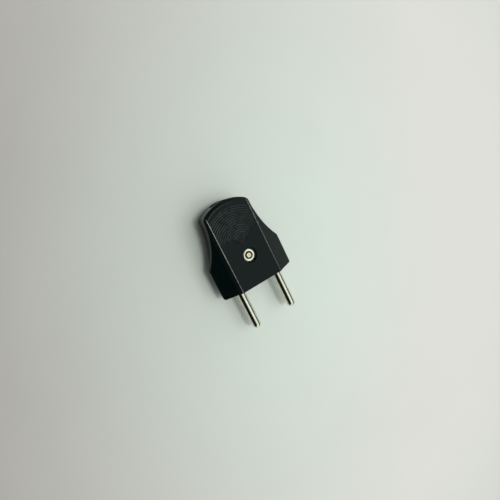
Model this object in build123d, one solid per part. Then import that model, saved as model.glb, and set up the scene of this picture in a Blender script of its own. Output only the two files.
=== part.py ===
"""Flat two-pin plug with a case of two moulded half shells, held by one screw and nut.

Millimetres. The plug lies on the flat of its lower shell, with the nut side up.
+X runs across the pins, +Y towards the cord entry and +Z up. The pins point along -Y.
The pieces are drawn about the case screw's axis, which every named distance is measured
from, and are moved at the end so that the origin is under the middle of the whole plug.
"""

from build123d import *
import os
from math import atan2, degrees, sqrt

# Case, outside
case_width = 35.0
case_height = 13.0
pin_face_distance = 13.4
cord_end_distance = 25.6
shoulder_distance = 0.8
cord_end_width = 21.8
cord_end_radius = 18.0
waist_bow = 1.7
cord_corner_radius = 2.5
pin_corner_radius = 0.9
shoulder_radius = 0.9
flat_width = 19.6
strip_width = 1.35
strip_drop = 1.6
rim_thickness = 1.6
edge_rounding = 0.4
parting_chamfer = 0.16

# Case, inside
case_wall = 1.5
cord_end_wall = 2.0
cord_room_wall = 1.7
terminal_room_side = 0.25
terminal_room_back = 1.25
room_corner_radius = 1.0
barrier_thickness = 1.6
post_wall = 1.05
peg_diameter = 2.2
peg_height = 1.0
peg_spacing = 26.0
peg_distance = 2.6

# Thumb grip of arc grooves on both flats
grip_centre_distance = 5.5
grip_first_radius = 2.25
grip_pitch = 1.0
grip_count = 15
grip_spread = 124.0
grip_groove_width = 0.56
grip_groove_depth = 0.18
grip_side_margin = 0.35

# Cord entry and cord clamp
entry_width = 9.2
entry_height = 7.2
entry_corner_radius = 2.0
clamp_distance = 15.2
clamp_bar_width = 5.0
clamp_bar_thickness = 1.6
clamp_bar_drop = 0.5
clamp_bar_end = 2.3
clamp_tooth_height = 0.9
clamp_tooth_width = 1.2
clamp_boss_diameter = 5.0
cord_rib_height = 1.4
cord_rib_thickness = 1.0
cord_rib_spacing = 3.0
cord_rib_width = 6.4

# Pins, turned from bar, with a collar and a terminal head
pin_spacing = 19.0
pin_diameter = 4.0
pin_reach = 19.0
pin_root_diameter = 4.6
pin_wall = 2.0
collar_wall = 0.5
collar_diameter = 6.4
collar_thickness = 1.5
pin_neck_length = 1.0
terminal_head_length = 7.0
terminal_flat_drop = 0.5

# Screws, nut and washers
thread_diameter = 3.0
terminal_thread_short = 0.2
terminal_screw_head_diameter = 5.0
terminal_screw_head_height = 1.5
washer_diameter = 5.6
washer_thickness = 0.5
spring_washer_diameter = 5.0
spring_washer_thickness = 0.7
spring_washer_gap = 0.5
case_thread_proud = 0.2
case_screw_head_diameter = 5.6
case_screw_head_height = 1.7
case_screw_head_seat = 2.6
nut_across_flats = 5.5
nut_face_diameter = 5.1
nut_height = 2.4
nut_sink = 0.6
nut_mouth_chamfer = 0.35
clamp_screw_diameter = 2.9
clamp_screw_length = 5.0
clamp_screw_head_diameter = 5.0
clamp_screw_head_height = 1.7
driver_slot_width = 0.8
driver_slot_depth = 0.8

# Clearances
seat_clearance = 0.05
hole_clearance = 0.2
pocket_clearance = 0.15
head_clearance = 0.4
peg_clearance = 0.1
clamp_side_clearance = 0.4

# Worked out from the sizes above
parting_height = case_height / 2
upper_half_height = case_height - parting_height
strip_base_width = flat_width + 2 * strip_width
strip_base_height = case_height - strip_drop
collar_front = pin_wall + seat_clearance - pin_face_distance
collar_back = collar_front + collar_thickness
room_front = collar_back + seat_clearance + collar_wall
head_front = collar_back + pin_neck_length
head_back = head_front + terminal_head_length
terminal_y = (head_front + head_back) / 2
terminal_seat_height = parting_height - terminal_flat_drop
terminal_room_width = pin_spacing + collar_diameter + 2 * terminal_room_side
room_back = head_back + terminal_room_back
terminal_stack = washer_thickness + spring_washer_thickness
terminal_screw_length = terminal_stack + collar_diameter / 2 - terminal_flat_drop - terminal_thread_short
nut_seat_height = case_height - nut_sink - nut_height
nut_pocket_flats = nut_across_flats + 2 * pocket_clearance
nut_pocket_corners = 2 * nut_pocket_flats / sqrt(3)
post_diameter = nut_pocket_corners + 2 * post_wall
case_screw_length = case_height - nut_sink + case_thread_proud - case_screw_head_seat
cord_room_width = cord_end_width - 2 * cord_room_wall
clamp_bar_length = cord_room_width - 2 * clamp_side_clearance
clamp_screw_spacing = clamp_bar_length - 2 * clamp_bar_end
clamp_bar_underside = parting_height - clamp_bar_drop
middle_distance = (cord_end_distance - pin_face_distance - pin_reach) / 2
far = 4 * cord_end_distance


def case_outline():
    """Plan of the case: flat pin face, sharp shoulders, hollow waist and a round cord end."""
    half_width = case_width / 2
    half_end = cord_end_width / 2
    end_corner_y = cord_end_distance - cord_end_radius + sqrt(cord_end_radius**2 - half_end**2)
    shoulder = Vector(half_width, shoulder_distance)
    end_corner = Vector(half_end, end_corner_y)
    chord = end_corner - shoulder
    inward = Vector(-chord.Y, chord.X).normalized()
    waist = (shoulder + end_corner) * 0.5 + inward * waist_bow
    pin_corner = Vector(half_width, -pin_face_distance)
    cord_middle = Vector(0, cord_end_distance)

    def left(point):
        return Vector(-point.X, point.Y)

    edges = [
        Line(left(pin_corner), pin_corner),
        Line(pin_corner, shoulder),
        ThreePointArc(shoulder, waist, end_corner),
        ThreePointArc(end_corner, cord_middle, left(end_corner)),
        ThreePointArc(left(end_corner), left(waist), left(shoulder)),
        Line(left(shoulder), left(pin_corner)),
    ]
    outline = make_face(edges)

    def corners(y):
        return [vertex for vertex in outline.vertices() if abs(vertex.Y - y) < 0.01]

    outline = fillet(corners(end_corner_y), cord_corner_radius)
    outline = fillet(corners(shoulder_distance), shoulder_radius)
    return fillet(corners(pin_corner.Y), pin_corner_radius)


def half_section(shrink=0.0):
    """Cross-section above the parting plane: flat, steep strip, then a shallow wing to the rim."""
    half_flat = flat_width / 2
    half_base = strip_base_width / 2
    half_width = case_width / 2
    rim_height = parting_height + rim_thickness / 2
    right = [
        (half_width, parting_height - case_height),
        (half_width, rim_height),
        (half_base, strip_base_height),
        (half_flat, case_height),
    ]
    points = right + [(-x, z) for x, z in reversed(right)]
    section = make_face(Polyline(points, close=True))
    if shrink:
        section = offset(section, -shrink, kind=Kind.INTERSECTION)
    return section


def along_y(section):
    """Carry an XZ section along the whole case."""
    standing = Plane.XZ * section
    return extrude(standing, far, both=True)


def round_ended(width, inset=0.0):
    """Plan strip along the plug's axis, from beyond the pin face to the round cord end."""
    centre_y = cord_end_distance - cord_end_radius
    reach = centre_y + 2 * pin_face_distance
    straight = Pos(0, centre_y - reach / 2) * Rectangle(width, reach)
    end = Circle(cord_end_radius - inset) & Rectangle(width, 2 * cord_end_radius)
    return straight + Pos(0, centre_y) * end


def tongue():
    """Plan of the raised middle at the foot of its steep strip, run out past the pin face."""
    plan = round_ended(strip_base_width)
    end_corners = [vertex for vertex in plan.vertices() if vertex.Y > shoulder_distance]
    return fillet(end_corners, cord_corner_radius)


def outer_half():
    """Upper half of the case, solid: the steep strip wraps round the cord end as a bevel.

    The chamfer round the parting face makes the fine line where the two shells meet.
    """
    block = Pos(0, 0, parting_height) * extrude(case_outline(), upper_half_height)
    wings = along_y(half_section()) & Pos(0, 0, strip_base_height - far / 2) * Box(far, far, far)
    slant = degrees(atan2(strip_width, strip_drop))
    cap = Pos(0, 0, strip_base_height) * extrude(tongue(), strip_drop, taper=slant)
    half = block & (wings + cap)
    flat = half.faces().sort_by(Axis.Z)[-1]
    half = fillet(flat.edges(), edge_rounding)
    parting_face = half.faces().sort_by(Axis.Z)[0]
    return chamfer(parting_face.edges(), parting_chamfer)


def room():
    """Hollow of one half shell, above the parting plane: terminal room and cord room."""
    terminal_room_length = room_back - room_front
    terminal_room = Pos(0, (room_front + room_back) / 2) * Rectangle(
        terminal_room_width, terminal_room_length
    )
    behind_pin_wall = Pos(0, room_front + far / 2) * Rectangle(far, far)
    cord_room = round_ended(cord_room_width, cord_end_wall) & behind_pin_wall
    plan = terminal_room + cord_room
    corners = plan.vertices()
    prism = Pos(0, 0, parting_height) * extrude(fillet(corners, room_corner_radius), upper_half_height)
    return prism & along_y(half_section(case_wall))


def pin_seat():
    """Round seats in the pin wall, whole: the root's bore, the collar's groove and the neck's bore."""
    bore = pin_root_diameter / 2 + seat_clearance
    groove = collar_diameter / 2 + seat_clearance
    length = room_front + far
    tube = Pos(0, room_front - length / 2, 0) * Rot(90, 0, 0) * Cylinder(bore, length)
    ring_length = collar_thickness + 2 * seat_clearance
    ring_middle = (collar_front + collar_back) / 2
    ring = Pos(0, ring_middle, 0) * Rot(90, 0, 0) * Cylinder(groove, ring_length)
    seat = tube + ring
    return Compound([Pos(side * pin_spacing / 2, 0, parting_height) * seat for side in (-1, 1)])


def cord_entry():
    """Rounded slot for the cord through the cord end wall."""
    slot = RectangleRounded(entry_width, entry_height, entry_corner_radius)
    standing = Plane.XZ.offset(-(cord_end_distance - 2 * cord_end_wall)) * slot
    return Pos(0, 0, parting_height) * extrude(standing, -far / 4)


def grip():
    """Concentric arc grooves on the flat, shared centre on the plug's axis."""
    half_groove = grip_groove_width / 2
    clip = Pos(0, far / 2, case_height) * Box(flat_width - 2 * grip_side_margin, far, far)
    centre = Pos(0, grip_centre_distance, 0)
    grooves = []
    for index in range(grip_count):
        radius = grip_first_radius + index * grip_pitch
        profile = Polyline(
            (radius - half_groove, case_height),
            (radius, case_height - grip_groove_depth),
            (radius + half_groove, case_height),
            (radius, case_height + grip_groove_depth),
            close=True,
        )
        arc = revolve(Plane.XZ * make_face(profile), Axis.Z, grip_spread)
        grooves.append((centre * Rot(0, 0, 90 - grip_spread / 2) * arc) & clip)
    return grooves


def hollow_half():
    """What both half shells share, as the upper one: walls, post, barrier, seats and grip."""
    solid = outer_half()
    post = Pos(0, 0, parting_height) * extrude(Circle(post_diameter / 2), upper_half_height)
    barrier_length = -room_front
    barrier_box = Box(barrier_thickness, barrier_length, upper_half_height)
    barrier = Pos(0, room_front / 2, parting_height + upper_half_height / 2) * barrier_box
    kept = solid & (post + barrier)
    half = (solid - room()) + kept
    half = half - pin_seat() - cord_entry()
    for groove in grip():
        half = half - groove
    screw_hole = Cylinder((thread_diameter + hole_clearance) / 2, far)
    return half - screw_hole


def peg_places():
    return [(side * peg_spacing / 2, peg_distance) for side in (-1, 1)]


def upper_shell():
    """Nut side: hexagon pocket in the flat, and sockets for the locating pegs."""
    shell = hollow_half()
    hexagon = RegularPolygon(nut_pocket_flats / 2, 6, major_radius=False)
    pocket = Pos(0, 0, nut_seat_height) * extrude(hexagon, case_height - nut_seat_height)
    mouth_radius = nut_pocket_corners / 2 + nut_mouth_chamfer / 2
    mouth = Pos(0, 0, case_height - nut_mouth_chamfer / 2) * Cone(
        mouth_radius - nut_mouth_chamfer, mouth_radius, nut_mouth_chamfer
    )
    shell = shell - pocket - mouth
    for x, y in peg_places():
        socket_height = peg_height + peg_clearance
        socket = Cylinder(peg_diameter / 2 + peg_clearance, socket_height)
        shell = shell - Pos(x, y, parting_height + socket_height / 2) * socket
    return shell


def lower_shell():
    """Screw side: round counterbore for the case screw, clamp bosses, cord ribs and pegs."""
    shell = mirror(hollow_half(), Plane.XY.offset(parting_height))
    counterbore = Cylinder((case_screw_head_diameter + head_clearance) / 2, 2 * case_screw_head_seat)
    shell = shell - counterbore
    for x, y in peg_places():
        peg = Cylinder(peg_diameter / 2, peg_height)
        shell = shell + Pos(x, y, parting_height + peg_height / 2) * peg
    for side in (-1, 1):
        boss = Cylinder(clamp_boss_diameter / 2, clamp_bar_underside - case_wall / 2)
        boss_middle = (clamp_bar_underside + case_wall / 2) / 2
        x = side * clamp_screw_spacing / 2
        shell = shell + Pos(x, clamp_distance, boss_middle) * boss
        pilot_depth = clamp_screw_length - clamp_bar_thickness + hole_clearance
        pilot = Cylinder(clamp_screw_diameter / 2 + seat_clearance, pilot_depth)
        shell = shell - Pos(x, clamp_distance, clamp_bar_underside - pilot_depth / 2) * pilot
    for side in (-1, 1):
        rib = Box(cord_rib_width, cord_rib_thickness, cord_rib_height + case_wall / 2)
        y = clamp_distance + side * cord_rib_spacing / 2
        z = case_wall + (cord_rib_height - case_wall / 2) / 2
        shell = shell + Pos(0, y, z) * rib
    return shell


def pin(side):
    """Turned pin: nose, shank, thicker root in the pin wall, collar, neck and milled head."""
    radius = pin_diameter / 2
    root_radius = pin_root_diameter / 2
    collar_radius = collar_diameter / 2
    nose_centre = radius - pin_face_distance - pin_reach
    nose_side = (radius / sqrt(2), nose_centre - radius / sqrt(2))
    profile = [
        ThreePointArc((0, nose_centre - radius), nose_side, (radius, nose_centre)),
        Polyline(
            (radius, nose_centre),
            (radius, -pin_face_distance),
            (root_radius, -pin_face_distance),
            (root_radius, collar_front),
            (collar_radius, collar_front),
            (collar_radius, collar_back),
            (root_radius, collar_back),
            (root_radius, head_front),
            (collar_radius, head_front),
            (collar_radius, head_back),
            (0, head_back),
            (0, nose_centre - radius),
        ),
    ]
    turned = revolve(make_face(profile), Axis.Y)
    milled_height = collar_radius + terminal_flat_drop
    milled_block = Box(collar_diameter, terminal_head_length, milled_height)
    milled = Pos(0, terminal_y, milled_height / 2 - terminal_flat_drop) * milled_block
    tapped = Pos(0, terminal_y, 0) * Cylinder(thread_diameter / 2 + seat_clearance, far)
    return Pos(side * pin_spacing / 2, 0, parting_height) * (turned - milled - tapped)


def slotted_screw(diameter, length, head_diameter, head_height, tip=0.0):
    """Screw with a domed, slotted head: the head's underside is at z = 0."""
    rounding = head_height * 0.45
    head = Pos(0, 0, head_height / 2) * Cylinder(head_diameter / 2, head_height)
    head = fillet(head.edges().group_by(Axis.Z)[-1], rounding)
    slot_middle = head_height - driver_slot_depth / 2
    head = head - Pos(0, 0, slot_middle) * Box(head_diameter * 2, driver_slot_width, driver_slot_depth)
    shank = Pos(0, 0, -length / 2) * Cylinder(diameter / 2, length)
    chamfer_length = tip if tip else diameter * 0.15
    end = shank.edges().group_by(Axis.Z)[0]
    if tip:
        shank = chamfer(end, chamfer_length, diameter / 4)
    else:
        shank = chamfer(end, chamfer_length)
    return head + shank


def terminal_place(side, height):
    return Pos(side * pin_spacing / 2, terminal_y, height)


def terminal_washer(side):
    """Plain washer on the pin's milled flat."""
    disc = Cylinder(washer_diameter / 2, washer_thickness)
    disc = disc - Cylinder((thread_diameter + hole_clearance) / 2, washer_thickness)
    return terminal_place(side, terminal_seat_height + washer_thickness / 2) * disc


def terminal_spring_washer(side):
    """Split spring washer, drawn flat by the screw."""
    disc = Cylinder(spring_washer_diameter / 2, spring_washer_thickness)
    disc = disc - Cylinder((thread_diameter + hole_clearance) / 2, spring_washer_thickness)
    split = Box(spring_washer_diameter, spring_washer_gap, far)
    disc = disc - Pos(spring_washer_diameter / 2, 0, 0) * Rot(30, 0, 0) * split
    seat = terminal_seat_height + washer_thickness
    return terminal_place(side, seat + spring_washer_thickness / 2) * disc


def terminal_screw(side):
    """Screw that clamps the wire's end to the pin."""
    screw = slotted_screw(
        thread_diameter,
        terminal_screw_length,
        terminal_screw_head_diameter,
        terminal_screw_head_height,
    )
    return terminal_place(side, terminal_seat_height + terminal_stack) * screw


def case_screw():
    """Screw that holds the two shells together, its head sunk in the lower shell."""
    screw = slotted_screw(
        thread_diameter, case_screw_length, case_screw_head_diameter, case_screw_head_height
    )
    return Pos(0, 0, case_screw_head_seat) * mirror(screw, Plane.XY)


def case_nut():
    """Hexagon nut with its corners turned off on both faces."""
    hexagon = RegularPolygon(nut_across_flats / 2, 6, major_radius=False)
    nut = extrude(hexagon, nut_height)
    across_corners = 2 * nut_across_flats / sqrt(3)
    corner = (across_corners - nut_face_diameter) / 2
    drop = corner * 0.58
    blank = Pos(0, 0, nut_height / 2) * Cylinder(across_corners / 2, nut_height)
    blank = chamfer(blank.edges().filter_by(GeomType.CIRCLE), drop, corner)
    bore = Pos(0, 0, nut_height / 2) * Cylinder(thread_diameter / 2 + seat_clearance, nut_height)
    lead_in = nut_height / 10
    nut = (nut & blank) - bore
    for z, flip in ((nut_height, 1), (0, -1)):
        wide = thread_diameter / 2 + seat_clearance + lead_in
        cone = Cone(wide - lead_in, wide, lead_in) if flip > 0 else Cone(wide, wide - lead_in, lead_in)
        nut = nut - Pos(0, 0, z - flip * lead_in / 2) * cone
    return Pos(0, 0, nut_seat_height) * nut


def cord_clamp():
    """Flat bar with round ends across the cord, with a tooth below that grips it."""
    bar = extrude(SlotOverall(clamp_bar_length, clamp_bar_width), clamp_bar_thickness)
    tooth_length = clamp_screw_spacing - clamp_boss_diameter - 2 * hole_clearance
    tooth = Pos(0, 0, -clamp_tooth_height / 2) * Box(tooth_length, clamp_tooth_width, clamp_tooth_height)
    clamp = bar + tooth
    for side in (-1, 1):
        hole = Cylinder((clamp_screw_diameter + hole_clearance) / 2, far)
        clamp = clamp - Pos(side * clamp_screw_spacing / 2, 0, 0) * hole
    return Pos(0, clamp_distance, clamp_bar_underside) * clamp


def clamp_screw(side):
    """Self-tapping screw that draws the cord clamp down on its boss."""
    screw = slotted_screw(
        clamp_screw_diameter,
        clamp_screw_length,
        clamp_screw_head_diameter,
        clamp_screw_head_height,
        tip=clamp_screw_diameter / 2,
    )
    seat = clamp_bar_underside + clamp_bar_thickness
    return Pos(side * clamp_screw_spacing / 2, clamp_distance, seat) * screw


pieces = {
    "upper_shell": upper_shell(),
    "lower_shell": lower_shell(),
    "case_screw": case_screw(),
    "case_nut": case_nut(),
    "cord_clamp": cord_clamp(),
}
for name, side in (("left", -1), ("right", 1)):
    pieces["pin_" + name] = pin(side)
    pieces["terminal_washer_" + name] = terminal_washer(side)
    pieces["terminal_spring_washer_" + name] = terminal_spring_washer(side)
    pieces["terminal_screw_" + name] = terminal_screw(side)
    pieces["clamp_screw_" + name] = clamp_screw(side)

os.makedirs("parts", exist_ok=True)
for name, shape in pieces.items():
    export_step(Pos(0, -middle_distance, 0) * shape, "parts/" + name + ".step")
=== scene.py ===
"""Looks of the flat two-pin plug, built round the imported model. Metres, +Z up, nut side up."""

from math import cos, pi, radians, sin, tau

import bmesh
import bpy
from mathutils import Matrix, Vector


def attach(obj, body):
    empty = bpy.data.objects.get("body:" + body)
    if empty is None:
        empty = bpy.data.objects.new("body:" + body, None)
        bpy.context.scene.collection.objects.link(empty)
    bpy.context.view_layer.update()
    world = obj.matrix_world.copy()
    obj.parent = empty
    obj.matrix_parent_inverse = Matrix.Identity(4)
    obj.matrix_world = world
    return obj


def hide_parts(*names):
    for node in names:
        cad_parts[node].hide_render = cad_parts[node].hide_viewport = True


MM = 0.001
SHARP_ANGLE = radians(32)

# Camera fitted to the photograph, in the row frame: turns in radians, place in millimetres
CAMERA_TURNS = (0.051, 0.341, 0.481)
CAMERA_PLACE = (-43.4, 37.9, 167.2)
FOCAL_PIXELS = 385.0
IMAGE_PIXELS = 500.0
SENSOR_MM = 36.0
CLIP_START = 0.005

# Direction of the picture's right-hand side on the table
RIGHT_X, RIGHT_Y = 0.887, -0.462

# Table colours from the picture's left to its right, spread over a span in millimetres: painted
# shade darkens the left and painted light brightens the right
FLOOR_LEFT, FLOOR_RIGHT = -100.0, 120.0
SHADED_FLOOR_TONES = (
    (0.0, (0.430, 0.440, 0.400)),
    (0.25, (0.550, 0.590, 0.540)),
    (0.455, (0.625, 0.690, 0.622)),
    (0.66, (0.682, 0.757, 0.687)),
    (0.80, (0.715, 0.773, 0.705)),
    (1.0, (0.750, 0.785, 0.730)),
)
FLOOR_CLOUD = (0.62, 0.65, 0.61)
FLOOR_TINT = (1.0, 0.94, 0.965)
FLOOR_SIZE = 3.0

# What the camera sees beyond the table, and the tone that the far table runs into
BACKDROP = (0.62, 0.66, 0.61)

# Brightness of the room that gloss mirrors, from its dark left wall over the ceiling to its right
ROOM_TONES = (
    (0.0, 0.005),
    (0.36, 0.01),
    (0.48, 0.05),
    (0.555, 0.85),
    (0.635, 1.36),
    (0.78, 1.22),
    (0.86, 0.60),
    (0.91, 0.05),
    (1.0, 0.04),
)
SOFT_LIGHT = (0.97, 1.0, 0.98)
MIRRORED_LIGHT = (0.88, 1.0, 0.93)

# Lamps: name, direction as right, ahead and up in the picture, distance and size in m, power in W
LAMPS = (
    ("key", (0.48, 0.08, 1.0), 3.0, 2.6, 37.0),
    ("ceiling", (0.19, 0.06, 1.0), 3.0, 0.55, 22.5),
)

# Colours of the black plastic, and of the wear and dust on it
PLASTIC_DARK = (0.0012, 0.0046, 0.0043)
PLASTIC_PALE = (0.0024, 0.0072, 0.0066)
PLASTIC_CLOUD = (0.0022, 0.0060, 0.0058)
SCUFFED = (0.016, 0.018, 0.0175)
GROOVE_DUST = (0.047, 0.056, 0.055)
WORN_EDGE = (0.66, 0.67, 0.65)
DUST_SPECK = (0.30, 0.30, 0.28)
PLASTIC_SPECULAR = 0.115

CLAMP_DARK = (0.018, 0.019, 0.019)
CLAMP_PALE = (0.032, 0.033, 0.032)
CLAMP_WORN = (0.11, 0.11, 0.11)

# Painted shade of the gap between the case screw's end and the nut, and how the marks of each metal
# are stretched
GAP_SHADE = (0.014, 0.022, 0.002)
TURNING_MARKS = (6.0, 0.35, 6.0)
EVEN_MARKS = (3.0, 3.0, 3.0)

# Sizes that the materials and the modelled pieces follow, in millimetres. FLAT_STARTS are the
# heights from the parting plane between which the flats' wear fades in; the flats are at 6.5.
PARTING_HEIGHT = 6.5
FLAT_STARTS = (5.6, 6.2)
FLAT_HALF_WIDTH = 9.8
FLAT_END_RADIUS = 16.65
CORD_END_CENTRE_Y = 11.0
PIN_FACE_Y = -10.0
AXIS_Y = 3.4
NUT_SEAT = 10.0
GRIP_Y = 8.9
GRIP_FIRST_RADIUS = 2.25
GRIP_LAST_RADIUS = 16.25
GRIP_PITCH = 1.0
PIN_X = 9.5
PIN_RADIUS = 2.0
PIN_ROOT_RADIUS = 2.3
PIN_COLLAR_RADIUS = 3.2
TERMINAL_Y = -1.95
TERMINAL_SCREW_SEAT = 7.2
CASE_SCREW_SEAT = 2.6
CLAMP_SCREW_X = 6.5
CLAMP_SCREW_Y = 18.6
CLAMP_SCREW_SEAT = 7.6
FINE_PITCH = 0.5
TAPPED_RADIUS = 1.55

# Screws: shank radius and length, head radius and height, length and depth of the tip, pitch
CASE_SCREW = (1.5, 10.0, 2.8, 1.7, (0.45, 0.45), FINE_PITCH)
TERMINAL_SCREW = (1.5, 3.7, 2.5, 1.5, (0.3, 0.3), FINE_PITCH)
CLAMP_SCREW = (1.45, 5.0, 2.5, 1.7, (1.45, 0.72), 1.1)
SCREW_COLUMNS = 48
SLOT_WIDTH = 0.8
SLOT_DEPTH = 0.8


class Graph:
    """Short calls for building a material's or a world's node tree."""

    def __init__(self, tree):
        self.nodes = tree.nodes
        self.links = tree.links
        self.nodes.clear()

    def feed(self, socket, value):
        if isinstance(value, bpy.types.NodeSocket):
            self.links.new(value, socket)
        elif value is not None:
            socket.default_value = value

    def node(self, kind, settings=None, inputs=None):
        node = self.nodes.new(kind)
        for key, value in (settings or {}).items():
            setattr(node, key, value)
        for key, value in (inputs or {}).items():
            self.feed(node.inputs[key], value)
        return node

    def math(self, operation, first, second=None, third=None, clamp=False):
        node = self.node("ShaderNodeMath", {"operation": operation, "use_clamp": clamp})
        for index, value in enumerate((first, second, third)):
            self.feed(node.inputs[index], value)
        return node.outputs[0]

    def add(self, first, second):
        return self.math("ADD", first, second)

    def sub(self, first, second):
        return self.math("SUBTRACT", first, second)

    def mul(self, first, *others):
        for other in others:
            first = self.math("MULTIPLY", first, other)
        return first

    def most(self, first, second, clamp=False):
        return self.math("MAXIMUM", first, second, clamp=clamp)

    def size(self, value):
        return self.math("ABSOLUTE", value)

    def radius(self, x, y, centre_y=0.0):
        """Distance in plan from a centre on the plug's middle line."""
        along = self.sub(y, centre_y)
        return self.math("SQRT", self.add(self.mul(x, x), self.mul(along, along)))

    def rightwards(self, x, y):
        """How far a point or direction lies towards the picture's right."""
        return self.add(self.mul(x, RIGHT_X), self.mul(y, RIGHT_Y))

    def ramp(self, value, low, high, start=0.0, end=1.0):
        """Smooth step of value from low to high, given as start to end."""
        settings = {"interpolation_type": "SMOOTHSTEP"}
        inputs = {"Value": value, "From Min": low, "From Max": high, "To Min": start, "To Max": end}
        return self.node("ShaderNodeMapRange", settings, inputs).outputs["Result"]

    def fall(self, value, low, high):
        """1 below low, falling smoothly to 0 at high."""
        return self.ramp(value, low, high, 1.0, 0.0)

    def tones(self, share, stops):
        """Colour at a share from 0 to 1 along stops of place and colour."""
        node = self.node("ShaderNodeValToRGB", inputs={"Fac": share})
        elements = node.color_ramp.elements
        for place, colour in stops[1:-1]:
            elements.new(place).color = (*colour, 1)
        elements[0].color = (*stops[0][1], 1)
        elements[-1].color = (*stops[-1][1], 1)
        return node.outputs["Color"]

    def colour(self, factor, first, second):
        node = self.node("ShaderNodeMix", {"data_type": "RGBA"})
        self.feed(node.inputs["Factor"], factor)
        for key, value in ((6, first), (7, second)):
            if isinstance(value, tuple):
                value = (*value, 1.0)
            self.feed(node.inputs[key], value)
        return node.outputs[2]

    def split(self, vector):
        return self.node("ShaderNodeSeparateXYZ", inputs={"Vector": vector}).outputs

    def stretched(self, vector, scale):
        node = self.node("ShaderNodeVectorMath", {"operation": "MULTIPLY"})
        self.feed(node.inputs[0], vector)
        node.inputs[1].default_value = scale
        return node.outputs[0]

    def noise(self, vector, scale, detail=2.0, roughness=0.5, distortion=0.0):
        inputs = {
            "Vector": vector,
            "Scale": scale,
            "Detail": detail,
            "Roughness": roughness,
            "Distortion": distortion,
        }
        return self.node("ShaderNodeTexNoise", inputs=inputs).outputs["Fac"]

    def bump(self, height, depth_mm, strength):
        inputs = {"Height": height, "Distance": depth_mm * MM, "Strength": strength}
        return self.node("ShaderNodeBump", inputs=inputs).outputs["Normal"]


def new_material(name):
    """A material, its graph, its shader, and the place on the object in millimetres."""
    material = bpy.data.materials.new(name)
    material.use_nodes = True
    graph = Graph(material.node_tree)
    shader = graph.node("ShaderNodeBsdfPrincipled")
    output = graph.node("ShaderNodeOutputMaterial")
    graph.links.new(shader.outputs["BSDF"], output.inputs["Surface"])
    place = graph.node("ShaderNodeTexCoord").outputs["Object"]
    return material, graph, shader, graph.stretched(place, (1 / MM,) * 3)


def finish_shader(graph, shader, base, rough, normal):
    graph.feed(shader.inputs["Base Color"], base)
    graph.feed(shader.inputs["Roughness"], rough)
    graph.feed(shader.inputs["Normal"], normal)


def edge_mask(graph, radius_mm, low, high):
    """1 where the surface turns a corner within the radius, 0 on open surface."""
    bevel = graph.node("ShaderNodeBevel", {"samples": 6}, {"Radius": radius_mm * MM})
    geometry = graph.node("ShaderNodeNewGeometry")
    dot = graph.node("ShaderNodeVectorMath", {"operation": "DOT_PRODUCT"})
    graph.links.new(bevel.outputs["Normal"], dot.inputs[0])
    graph.links.new(geometry.outputs["Normal"], dot.inputs[1])
    return graph.ramp(graph.sub(1.0, dot.outputs["Value"]), low, high)


def line_mask(graph, distance, half_width, fade):
    """1 within half_width of a line, fading to 0 over fade, from the signed distance."""
    return graph.fall(graph.size(distance), half_width, half_width + fade)


def wear_mask(graph, place, x, y, above):
    """Patchy wear: lines on the flat's long edges, less on its ends and on other corners."""
    edge = graph.ramp(x, -1.0, 1.0, FLAT_HALF_WIDTH - 0.06, FLAT_HALF_WIDTH - 0.12)
    long_edges = graph.mul(
        line_mask(graph, graph.sub(graph.size(x), edge), 0.03, 0.12),
        graph.ramp(y, PIN_FACE_Y, 8.0, 0.6, 1.0),
        graph.ramp(x, -6.0, 6.0, 1.0, 0.45),
    )
    from_end = graph.sub(graph.radius(x, y, CORD_END_CENTRE_Y), FLAT_END_RADIUS - 0.2)
    cord_edge = graph.mul(
        line_mask(graph, from_end, 0.05, 0.3),
        graph.ramp(y, 19.5, 21.5),
        graph.ramp(x, -8.0, 8.0, 0.08, 0.0),
    )
    pin_edge = graph.mul(
        graph.ramp(y, PIN_FACE_Y + 0.3, PIN_FACE_Y - 0.1),
        graph.ramp(above, 6.0, 6.4),
        0.22,
    )
    patchy = graph.ramp(graph.noise(place, 1.7, 4.0, 0.7), 0.36, 0.6)
    lines = graph.mul(
        graph.most(graph.most(long_edges, cord_edge), pin_edge),
        graph.ramp(above, *FLAT_STARTS),
        graph.add(graph.mul(patchy, 0.75), 0.25),
    )
    corners = graph.mul(
        edge_mask(graph, 0.22, 0.02, 0.25),
        patchy,
        graph.ramp(above, *FLAT_STARTS, 1.0, 0.2),
        0.1,
    )
    return graph.most(lines, corners, clamp=True)


def groove_mask(graph, place, x, y, above):
    """Patchy dust in the grip's arc grooves, thinner towards +X and where the arcs end."""
    radius = graph.radius(x, y, GRIP_Y)
    from_groove = graph.math("PINGPONG", graph.sub(radius, GRIP_FIRST_RADIUS), GRIP_PITCH / 2)
    past_centre = graph.sub(graph.sub(y, GRIP_Y), graph.mul(graph.size(x), 0.35))
    return graph.mul(
        graph.fall(from_groove, 0.16, 0.3),
        graph.fall(radius, GRIP_LAST_RADIUS + 0.3, GRIP_LAST_RADIUS + 0.5),
        graph.ramp(above, 6.1, 6.2),
        graph.ramp(past_centre, 0.0, 3.0),
        graph.ramp(graph.noise(place, 0.45, 3.0, 0.6), 0.35, 0.6, 0.35, 1.0),
        graph.ramp(x, -4.0, 8.0, 1.0, 0.4),
    )


def speck_mask(graph, place):
    """A few small specks of dust."""
    cells = graph.node("ShaderNodeTexVoronoi", inputs={"Vector": place, "Scale": 1.25})
    dot = graph.fall(cells.outputs["Distance"], 0.045, 0.09)
    chance = graph.split(cells.outputs["Color"])[0]
    return graph.mul(dot, graph.ramp(chance, 0.9, 0.94))


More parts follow.
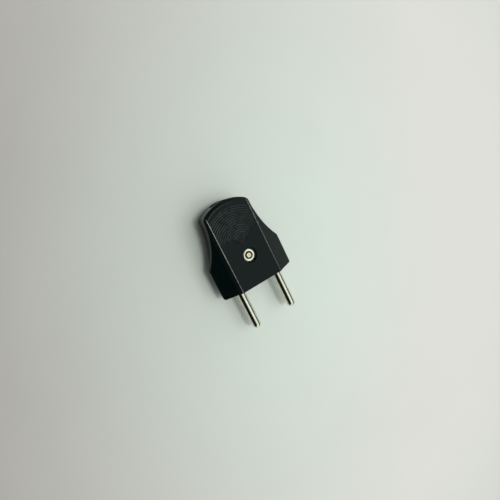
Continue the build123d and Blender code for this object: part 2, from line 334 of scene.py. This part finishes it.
def case_material():
    """Black moulded plastic: mottling, fine skin, wear and dust, and rougher steep strips."""
    material, graph, shader, place = new_material("case_plastic")
    x, y, z = graph.split(place)
    above = graph.size(graph.sub(z, PARTING_HEIGHT))
    mottle = graph.noise(place, 0.55, 5.0, 0.62, 0.4)
    clouds = graph.noise(place, 0.16, 3.0, 0.5)
    skin = graph.noise(place, 9.0, 3.0, 0.6)
    scuffs = graph.noise(graph.stretched(place, (5.5, 0.7, 5.5)), 1.0, 4.0, 0.7)
    worn = wear_mask(graph, place, x, y, above)

    base = graph.colour(graph.ramp(mottle, 0.35, 0.7), PLASTIC_DARK, PLASTIC_PALE)
    base = graph.colour(graph.ramp(clouds, 0.35, 0.7, 0.0, 0.5), base, PLASTIC_CLOUD)
    base = graph.colour(graph.ramp(scuffs, 0.63, 0.78, 0.0, 0.35), base, SCUFFED)
    base = graph.colour(groove_mask(graph, place, x, y, above), base, GROOVE_DUST)
    base = graph.colour(worn, base, WORN_EDGE)
    base = graph.colour(graph.mul(speck_mask(graph, place), 0.8), base, DUST_SPECK)

    slant = graph.size(graph.split(graph.node("ShaderNodeNewGeometry").outputs["Normal"])[2])
    steep = graph.mul(graph.ramp(slant, 0.1, 0.25), graph.ramp(slant, 0.85, 0.75))
    rough = graph.add(graph.ramp(mottle, 0.3, 0.75, 0.12, 0.19), graph.mul(steep, 0.4))
    wear = graph.add(graph.mul(worn, 0.25), graph.ramp(scuffs, 0.6, 0.8, 0.0, 0.12))
    rough = graph.add(rough, wear)

    height = graph.sub(graph.add(graph.mul(skin, 0.35), mottle), graph.mul(worn, 0.6))
    finish_shader(graph, shader, base, rough, graph.bump(height, 0.02, 0.7))
    shader.inputs["Specular IOR Level"].default_value = PLASTIC_SPECULAR
    return material


def metal_material(name, pale, dark, roughness, grain, marks=EVEN_MARKS, stain=None, gap_shade=None):
    """Plated metal: cloudy plating, fine marks, and duller pits.

    The last argument is the two radii about the case screw's axis between which painted shade of
    the gap round the screw's end is darkest.
    """
    material, graph, shader, place = new_material(name)
    cloud = graph.noise(place, 0.9, 4.0, 0.6)
    fine = graph.noise(graph.stretched(place, marks), 1.0, 4.0, 0.65)
    pits = graph.noise(place, 7.0, 3.0, 0.6)
    tone = graph.ramp(graph.add(graph.mul(cloud, 0.6), graph.mul(fine, 0.4)), 0.35, 0.65)
    base = graph.colour(tone, dark, pale)
    if stain:
        stained = graph.ramp(graph.noise(place, 0.7, 3.0, 0.5, 0.8), 0.42, 0.56)
        base = graph.colour(stained, base, stain)
    pit_colour = tuple(part * 0.45 for part in dark)
    base = graph.colour(graph.ramp(pits, 0.64, 0.72, 0.0, 0.4), base, pit_colour)
    # Painted shade: a dark ring about the case screw's axis, from just below the nut's seat
    # upwards, stands for the shade in the gap between screw and nut.
    if gap_shade:
        x, y, z = graph.split(place)
        radius = graph.radius(x, y, AXIS_Y)
        inner, outer = gap_shade
        shaded_ring = graph.mul(
            graph.ramp(radius, inner - 0.1, inner),
            graph.fall(radius, outer, outer + 0.1),
            graph.ramp(z, NUT_SEAT - 1.5, NUT_SEAT - 0.5),
        )
        base = graph.colour(shaded_ring, base, GAP_SHADE)
    height = graph.add(graph.mul(fine, 0.6), graph.mul(pits, 0.4))
    rough = graph.ramp(fine, 0.3, 0.7, *roughness)
    finish_shader(graph, shader, base, rough, graph.bump(height, grain, 0.6))
    shader.inputs["Metallic"].default_value = 1.0
    return material


def clamp_material():
    """Dull dark moulding of the cord clamp, with a fine spark-eroded skin."""
    material, graph, shader, place = new_material("clamp_plastic")
    skin = graph.noise(place, 7.0, 4.0, 0.7)
    cloud = graph.noise(place, 0.5, 3.0, 0.5)
    base = graph.colour(graph.ramp(cloud, 0.3, 0.7), CLAMP_DARK, CLAMP_PALE)
    base = graph.colour(graph.mul(edge_mask(graph, 0.2, 0.02, 0.3), 0.3), base, CLAMP_WORN)
    rough = graph.ramp(skin, 0.3, 0.7, 0.5, 0.68)
    finish_shader(graph, shader, base, rough, graph.bump(skin, 0.03, 0.6))
    return material


def floor_material():
    """Pale table top with painted shading, darker at the picture's left, that runs into the
    backdrop's tone.
    """
    material, graph, shader, place = new_material("table_top")
    x, y, z = graph.split(place)
    inputs = {
        "Value": graph.rightwards(x, y),
        "From Min": FLOOR_LEFT,
        "From Max": FLOOR_RIGHT,
    }
    share = graph.node("ShaderNodeMapRange", inputs=inputs).outputs["Result"]
    # Painted shade and light: the table's colour runs from darker at the picture's left to lighter
    # at its right.
    base = graph.tones(share, SHADED_FLOOR_TONES)
    cloud = graph.noise(place, 0.02, 3.0, 0.5)
    base = graph.colour(graph.ramp(cloud, 0.3, 0.7, 0.0, 0.1), base, FLOOR_CLOUD)
    away = graph.radius(x, y)
    base = graph.colour(graph.ramp(away, 35.0, 130.0), base, graph.stretched(base, FLOOR_TINT))
    base = graph.colour(graph.ramp(away, 150.0, 280.0), base, BACKDROP)
    grain = graph.noise(place, 1.2, 4.0, 0.6)
    rough = graph.ramp(grain, 0.3, 0.7, 0.55, 0.7)
    finish_shader(graph, shader, base, rough, graph.bump(grain, 0.02, 0.3))
    shader.inputs["Specular IOR Level"].default_value = 0.2
    return material


def link_object(name, data):
    """Adds an object with this data to the scene."""
    item = bpy.data.objects.new(name, data)
    bpy.context.scene.collection.objects.link(item)
    return item


def bmesh_to_mesh(name, bm):
    """Turns a bmesh into a mesh and frees it."""
    mesh = bpy.data.meshes.new(name)
    bm.to_mesh(mesh)
    bm.free()
    return mesh


def shade(mesh):
    """Smooth shading with sharp edges kept sharp."""
    mesh.shade_smooth()
    mesh.set_sharp_from_angle(angle=SHARP_ANGLE)


def mesh_object(name, bm, material, nodes):
    """Closes a bmesh into an object that stands for the named CAD nodes."""
    bmesh.ops.remove_doubles(bm, verts=bm.verts, dist=1e-7)
    bmesh.ops.recalc_face_normals(bm, faces=bm.faces)
    mesh = bmesh_to_mesh(name, bm)
    piece = link_object(name, mesh)
    mesh.materials.append(material)
    shade(mesh)
    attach(piece, "root")
    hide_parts(*nodes)
    return piece


def millimetres_at(place):
    """Matrix that takes millimetres about a place, itself in millimetres, to the scene."""
    return Matrix.Scale(MM, 4) @ Matrix.Translation(place)


def rings_to_bmesh(rings, closed=False):
    """Skins rings of points with quads; a ring of one point is a pole."""
    bm = bmesh.new()
    made = [[bm.verts.new(point) for point in ring] for ring in rings]
    pairs = list(zip(made, made[1:]))
    if closed:
        pairs.append((made[-1], made[0]))
    for first, second in pairs:
        count = max(len(first), len(second))
        for index in range(count):
            after = (index + 1) % count
            if len(first) == 1:
                bm.faces.new((first[0], second[after], second[index]))
            elif len(second) == 1:
                bm.faces.new((first[index], first[after], second[0]))
            else:
                bm.faces.new((first[index], first[after], second[after], second[index]))
    return bm


def circle_ring(radius, z, columns):
    angles = [tau * column / columns for column in range(columns)]
    return [(radius * cos(angle), radius * sin(angle), z) for angle in angles]


def thread_depth(turns, crest=0.22):
    """Depth of a V thread, 0 at the crest to 1 at the root, over one turn."""
    wave = abs((turns % 1.0) * 2.0 - 1.0)
    return min(1.0, max(0.0, (wave - crest) / (1.0 - 2 * crest)))


def thread_rings(radius, depth, pitch, low, high, run_out, tip, columns):
    """Rings up a threaded shank from z low to high, fading out below high over run_out.

    The tip at low is its length and how far it draws in.
    """
    steps_per_turn = 10
    tip_length, tip_depth = tip
    steps = max(2, round((high - low) / pitch * steps_per_turn))
    rings = []
    for step in range(steps + 1):
        z = low + (high - low) * step / steps
        fade = min(1.0, max(0.0, (high - z) / run_out))
        drawn_in = max(0.0, tip_length - (z - low)) / tip_length * tip_depth
        ring = []
        for column in range(columns):
            turn = column / columns
            groove = depth * fade * thread_depth(z / pitch - turn)
            r = min(radius - groove, radius - drawn_in)
            ring.append((r * cos(tau * turn), r * sin(tau * turn), z))
        rings.append(ring)
    return rings


def box_cutter(move, centre, size):
    """A closed box of this centre and size to cut with."""
    bm = bmesh.new()
    bmesh.ops.create_cube(bm, size=1.0)
    box = Matrix.Translation(centre) @ Matrix.Diagonal((*size, 1))
    bmesh.ops.transform(bm, matrix=move @ box, verts=bm.verts)
    return bm


def cut(piece, cutter_bm):
    """Takes a closed cutter out of a piece and keeps the result as its mesh."""
    bmesh.ops.recalc_face_normals(cutter_bm, faces=cutter_bm.faces)
    cutter = link_object("cutter", bmesh_to_mesh("cutter", cutter_bm))
    modifier = piece.modifiers.new("cut", "BOOLEAN")
    modifier.operation = "DIFFERENCE"
    modifier.solver = "EXACT"
    modifier.object = cutter
    bpy.context.view_layer.update()
    evaluated = piece.evaluated_get(bpy.context.evaluated_depsgraph_get())
    result = bpy.data.meshes.new_from_object(evaluated)
    piece.modifiers.clear()
    piece.data = result
    bpy.data.objects.remove(cutter)
    shade(result)
    return piece


def slotted_screw(node, material, place, screw, flip=False):
    """Threaded screw with a domed slotted head whose underside is at the place given."""
    radius, length, head_radius, head_height, tip, pitch = screw
    rounding = head_height * 0.45
    edge = head_height * 0.06
    dome_steps = 6
    rings = [[(0, 0, -length)]]
    rings.append(circle_ring((radius - tip[1]) * 0.5, -length, SCREW_COLUMNS))
    rings += thread_rings(
        radius, pitch * 0.5, pitch, -length, 0.0, pitch * 1.5, tip, SCREW_COLUMNS
    )
    rings.append(circle_ring(head_radius - edge, 0.0, SCREW_COLUMNS))
    rings.append(circle_ring(head_radius, edge, SCREW_COLUMNS))
    for step in range(dome_steps + 1):
        angle = pi / 2 * step / dome_steps
        r = head_radius - rounding + rounding * cos(angle)
        z = head_height - rounding + rounding * sin(angle)
        rings.append(circle_ring(r, z, SCREW_COLUMNS))
    rings.append(circle_ring((head_radius - rounding) * 0.5, head_height, SCREW_COLUMNS))
    rings.append([(0, 0, head_height)])
    bm = rings_to_bmesh(rings)
    turn = Matrix.Rotation(pi, 4, "X") if flip else Matrix.Identity(4)
    move = millimetres_at(place) @ turn
    bmesh.ops.transform(bm, matrix=move, verts=bm.verts)
    piece = mesh_object(node + "_threaded", bm, material, [node])
    slot_size = (head_radius * 3, SLOT_WIDTH, 2 * SLOT_DEPTH)
    return cut(piece, box_cutter(move, (0, 0, head_height), slot_size))


def hex_nut(material):
    """Hexagon nut with its corners turned off and a thread in its bore."""
    half_flats, height, bore = 2.75, 2.4, TAPPED_RADIUS
    turned_radius, turned_slope = 2.36, 0.58
    mouth_depth, thread = 0.24, 0.26
    bore_steps, columns = 40, 96
    face_shares = (0.35, 0.6, 0.72, 0.82, 0.9, 0.96, 1.0)
    angles = [tau * column / columns for column in range(columns)]

    def bore_point(angle, z):
        mouth = max(0.0, mouth_depth - z, mouth_depth - (height - z))
        if mouth:
            r = bore + mouth
        else:
            r = bore - thread * (1 - thread_depth(z / FINE_PITCH - angle / tau))
        return (r * cos(angle), r * sin(angle), z)

    def face_point(angle, share, top):
        corner = half_flats / cos((angle + pi / 6) % (pi / 3) - pi / 6)
        r = bore + mouth_depth + (corner - bore - mouth_depth) * share
        drop = max(0.0, r - turned_radius) * turned_slope
        z = height - drop if top else drop
        return (r * cos(angle), r * sin(angle), z)

    rings = []
    for step in range(bore_steps + 1):
        z = height * step / bore_steps
        rings.append([bore_point(angle, z) for angle in angles])
    for share in face_shares:
        rings.append([face_point(angle, share, True) for angle in angles])
    for share in reversed(face_shares):
        rings.append([face_point(angle, share, False) for angle in angles])
    bm = rings_to_bmesh(rings, closed=True)
    bmesh.ops.transform(bm, matrix=millimetres_at((0, AXIS_Y, NUT_SEAT)), verts=bm.verts)
    return mesh_object("case_nut_turned", bm, material, ["case_nut"])


def turned_pin(name, side, material):
    """Turned pin with broken edges, its milled terminal flat and the tapped hole in it."""
    columns, nose_steps, shank_steps = 64, 16, 6
    nose_centre = -27.0
    front, back, head_front, head_back = -7.95, -6.45, -5.45, 1.55
    milled_floor, mill_size = -0.5, (8, 7.0, 5.0)
    tap_low, tap_high, tap_thread = -4.0, 1.0, 0.2

    profile = [(0.0, nose_centre - PIN_RADIUS)]
    for step in range(1, nose_steps + 1):
        angle = pi / 2 * step / nose_steps
        profile.append((PIN_RADIUS * sin(angle), nose_centre - PIN_RADIUS * cos(angle)))
    for step in range(1, shank_steps + 1):
        y = nose_centre + (PIN_FACE_Y - nose_centre) * step / shank_steps
        profile.append((PIN_RADIUS, y))
    profile += [
        (PIN_ROOT_RADIUS - 0.08, PIN_FACE_Y),
        (PIN_ROOT_RADIUS, PIN_FACE_Y + 0.08),
        (PIN_ROOT_RADIUS, front),
        (PIN_COLLAR_RADIUS - 0.12, front),
        (PIN_COLLAR_RADIUS, front + 0.12),
        (PIN_COLLAR_RADIUS, back - 0.12),
        (PIN_COLLAR_RADIUS - 0.12, back),
        (PIN_ROOT_RADIUS, back),
        (PIN_ROOT_RADIUS, head_front),
        (PIN_COLLAR_RADIUS - 0.15, head_front),
        (PIN_COLLAR_RADIUS, head_front + 0.15),
        (PIN_COLLAR_RADIUS, head_back - 0.2),
        (PIN_COLLAR_RADIUS - 0.2, head_back),
        (0.0, head_back),
    ]
    angles = [tau * column / columns for column in range(columns)]
    rings = []
    for radius, y in profile:
        if radius == 0.0:
            rings.append([(0, y, 0)])
        else:
            rings.append([(radius * sin(angle), y, radius * cos(angle)) for angle in angles])
    bm = rings_to_bmesh(rings)
    move = millimetres_at((side * PIN_X, 0, PARTING_HEIGHT))
    bmesh.ops.transform(bm, matrix=move, verts=bm.verts)
    piece = mesh_object(name + "_turned", bm, material, [name])

    mill_centre = (0, TERMINAL_Y, milled_floor + mill_size[2] / 2)
    cut(piece, box_cutter(move, mill_centre, mill_size))
    rings = thread_rings(
        TAPPED_RADIUS, tap_thread, FINE_PITCH, tap_low, tap_high, 0.01, (0.01, 0.0), SCREW_COLUMNS
    )
    tap = rings_to_bmesh([[(0, 0, tap_low)]] + rings + [[(0, 0, tap_high)]])
    tap_move = move @ Matrix.Translation((0, TERMINAL_Y, 0))
    bmesh.ops.transform(tap, matrix=tap_move, verts=tap.verts)
    return cut(piece, tap)


def make_camera():
    turns = [Matrix.Rotation(angle, 3, axis) for angle, axis in zip(CAMERA_TURNS, "XYZ")]
    look = (turns[0] @ turns[1] @ turns[2]).transposed()
    data = bpy.data.cameras.new("camera")
    data.sensor_width = SENSOR_MM
    data.lens = FOCAL_PIXELS / IMAGE_PIXELS * SENSOR_MM
    data.clip_start = CLIP_START
    camera = link_object("camera", data)
    camera.matrix_world = Matrix.Translation(Vector(CAMERA_PLACE) * MM) @ look.to_4x4()
    bpy.context.scene.camera = camera


def make_floor():
    bm = bmesh.new()
    bmesh.ops.create_grid(bm, x_segments=8, y_segments=8, size=FLOOR_SIZE)
    mesh = bmesh_to_mesh("table", bm)
    mesh.materials.append(floor_material())
    table = link_object("table", mesh)


def make_lamp(name, direction, distance, size, power):
    """Soft square lamp that faces the plug and isn't seen by gloss."""
    across, ahead, height = direction
    x = across * RIGHT_X - ahead * RIGHT_Y
    y = across * RIGHT_Y + ahead * RIGHT_X
    way = Vector((x, y, height)).normalized()
    data = bpy.data.lights.new(name, "AREA")
    data.shape = "SQUARE"
    data.size = size
    data.energy = power
    lamp = link_object(name, data)
    lamp.location = way * distance
    lamp.rotation_euler = way.to_track_quat("Z", "Y").to_euler()
    lamp.visible_glossy = False


def make_world():
    """Room: soft light that is brighter at the picture's right, the room that gloss mirrors,
    dark at the left and with a low glow at the far right, and a plain backdrop to the camera."""
    world = bpy.data.worlds.new("room")
    world.use_nodes = True
    bpy.context.scene.world = world
    graph = Graph(world.node_tree)
    x, y, z = graph.split(graph.node("ShaderNodeTexCoord").outputs["Generated"])
    side = graph.rightwards(x, y)
    share = graph.math("MULTIPLY_ADD", side, 0.5, 0.5)
    tones = graph.tones(share, [(place, (tone,) * 3) for place, tone in ROOM_TONES])
    mirrored = graph.mul(tones, graph.ramp(z, -0.1, 0.3, 0.6, 1.0))
    glow = graph.mul(graph.ramp(side, 0.8, 0.95), graph.ramp(z, 0.08, 0.22, 1.15, 0.0))
    soft, mirror, backdrop = (
        graph.node("ShaderNodeBackground", inputs={"Strength": strength, "Color": (*colour, 1)})
        for strength, colour in (
            (graph.ramp(side, -0.5, 0.8, 0.07, 1.0), SOFT_LIGHT),
            (graph.add(mirrored, glow), MIRRORED_LIGHT),
            (1.0, BACKDROP),
        )
    )
    rays = graph.node("ShaderNodeLightPath")
    shown = soft.outputs[0]
    for ray, background in (("Is Glossy Ray", mirror), ("Is Camera Ray", backdrop)):
        mix = graph.node("ShaderNodeMixShader")
        graph.links.new(rays.outputs[ray], mix.inputs[0])
        graph.links.new(shown, mix.inputs[1])
        graph.links.new(background.outputs[0], mix.inputs[2])
        shown = mix.outputs[0]
    output = graph.node("ShaderNodeOutputWorld")
    graph.links.new(shown, output.inputs["Surface"])


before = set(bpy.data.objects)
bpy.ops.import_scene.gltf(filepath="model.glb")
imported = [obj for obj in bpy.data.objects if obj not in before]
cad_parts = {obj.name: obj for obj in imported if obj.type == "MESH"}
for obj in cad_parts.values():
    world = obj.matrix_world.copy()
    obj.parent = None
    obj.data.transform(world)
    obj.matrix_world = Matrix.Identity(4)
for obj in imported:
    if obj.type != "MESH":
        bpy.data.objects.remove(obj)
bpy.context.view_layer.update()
bpy.context.scene.view_settings.view_transform = "Standard"
make_camera()
make_floor()
make_world()
for lamp in LAMPS:
    make_lamp(*lamp)

nickel = metal_material(
    "nickel_plate", (0.80, 0.77, 0.68), (0.62, 0.59, 0.50), (0.09, 0.18), 0.006, TURNING_MARKS
)
zinc = metal_material(
    "zinc_plate", (0.92, 0.90, 0.84), (0.78, 0.77, 0.70), (0.34, 0.48), 0.01
)
yellow = metal_material(
    "yellow_zinc_plate", (0.80, 0.74, 0.40), (0.62, 0.60, 0.30), (0.22, 0.38), 0.01,
    stain=(0.70, 0.50, 0.42),
)
# The nut's and the case screw's platings carry painted shade of the gap between them.
gap_shaded_nut_plate = metal_material(
    "zinc_plate_gap_shaded", (0.98, 0.92, 0.87), (0.92, 0.86, 0.78), (0.30, 0.42), 0.01,
    gap_shade=(0.0, 1.6),
)
gap_shaded_screw_plate = metal_material(
    "yellow_zinc_plate_gap_shaded", (0.72, 0.78, 0.38), (0.62, 0.68, 0.28), (0.22, 0.38), 0.01,
    stain=(0.68, 0.46, 0.32), gap_shade=(1.08, 1.6),
)
finishes = {
    "case": case_material(),
    "nickel": nickel,
    "zinc_steel": zinc,
    "yellow_zinc": yellow,
    "clamp": clamp_material(),
}
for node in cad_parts.values():
    for slot in node.material_slots:
        slot.material = finishes[slot.name]

hex_nut(gap_shaded_nut_plate)
slotted_screw(
    "case_screw", gap_shaded_screw_plate, (0, AXIS_Y, CASE_SCREW_SEAT), CASE_SCREW, flip=True
)
for side, name in ((-1, "left"), (1, "right")):
    turned_pin("pin_" + name, side, nickel)
    slotted_screw(
        "terminal_screw_" + name, yellow,
        (side * PIN_X, TERMINAL_Y, TERMINAL_SCREW_SEAT), TERMINAL_SCREW,
    )
    slotted_screw(
        "clamp_screw_" + name, zinc,
        (side * CLAMP_SCREW_X, CLAMP_SCREW_Y, CLAMP_SCREW_SEAT), CLAMP_SCREW,
    )
